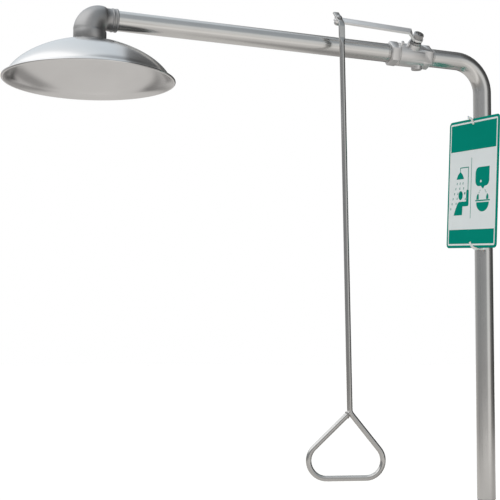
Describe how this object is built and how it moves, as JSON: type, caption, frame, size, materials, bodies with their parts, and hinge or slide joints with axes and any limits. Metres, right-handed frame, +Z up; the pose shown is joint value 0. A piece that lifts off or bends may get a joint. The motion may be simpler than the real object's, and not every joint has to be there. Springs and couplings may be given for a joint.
{
  "type": "emergency safety shower",
  "caption": "Overhead emergency shower: bent stainless standpipe and arm, spun bowl head, stay-open ball valve, lever, pull rod with loop handle, and a pictogram sign.",
  "frame": {"origin": "centre of the standpipe's threaded lower end", "axes": "+Z up along the standpipe, -X along the arm to the shower head, -Y to the side that the pull rod hangs on"},
  "size_m": [0.917, 0.2816, 0.8865],
  "materials": {
    "pipe_steel": "satin stainless tube",
    "cast_steel": "bead-blasted stainless casting",
    "spun_steel": "satin spun stainless sheet",
    "rod_steel": "ground stainless rod",
    "lever_steel": "satin stainless strip",
    "bolt_steel": "bright stainless fastener",
    "polished_steel": "polished stainless ball",
    "brass": "machined brass",
    "gasket_rubber": "moulded rubber",
    "ptfe": "pressed ptfe",
    "sign_plastic": "printed semi-gloss plastic sheet",
    "sign_print_white": "printed white",
    "tie_nylon": "moulded natural nylon"
  },
  "bodies": {
    "frame": {"standpipe": "pipe_steel", "arm_pipe": "pipe_steel", "elbow": "cast_steel", "head_nipple": "pipe_steel", "head_gasket": "gasket_rubber", "shower_head": "spun_steel", "head_locknut": "bolt_steel", "flow_control": "brass", "deflector_spacer": "bolt_steel", "deflector": "spun_steel", "deflector_screw": "bolt_steel", "valve_body": "cast_steel", "valve_end_cap": "cast_steel", "body_seal": "ptfe", "inlet_seat": "ptfe", "outlet_seat": "ptfe", "thrust_washer": "ptfe", "stem_packing": "ptfe", "gland_nut": "bolt_steel", "sign_plate": "sign_plastic", "cable_tie_top": "tie_nylon", "cable_tie_bottom": "tie_nylon"},
    "lever": {"lever": "lever_steel", "valve_stem": "bolt_steel", "valve_ball": "polished_steel", "lever_spring_washer": "bolt_steel", "lever_nut": "bolt_steel", "pivot_bolt": "bolt_steel", "pivot_washers": "bolt_steel", "pivot_nut": "bolt_steel"},
    "rod": {"pull_rod": "rod_steel", "pull_handle": "rod_steel"}
  },
  "joints": [
    {"name": "lever_turn", "type": "hinge", "parent": "frame", "child": "lever", "pos_m": [-0.156, 0, 0.83], "axis": [0, -0.7314, 0.682], "range_deg": [0, 90]},
    {"name": "rod_pivot", "type": "hinge", "parent": "lever", "child": "rod", "pos_m": [-0.31778, -0.03144, 0.87091], "axis": [0, -0.7314, 0.682], "range_deg": [-90, 0]}
  ],
  "couplings": [
    {"joint": "rod_pivot", "follows": "lever_turn", "ratio": -1}
  ]
}
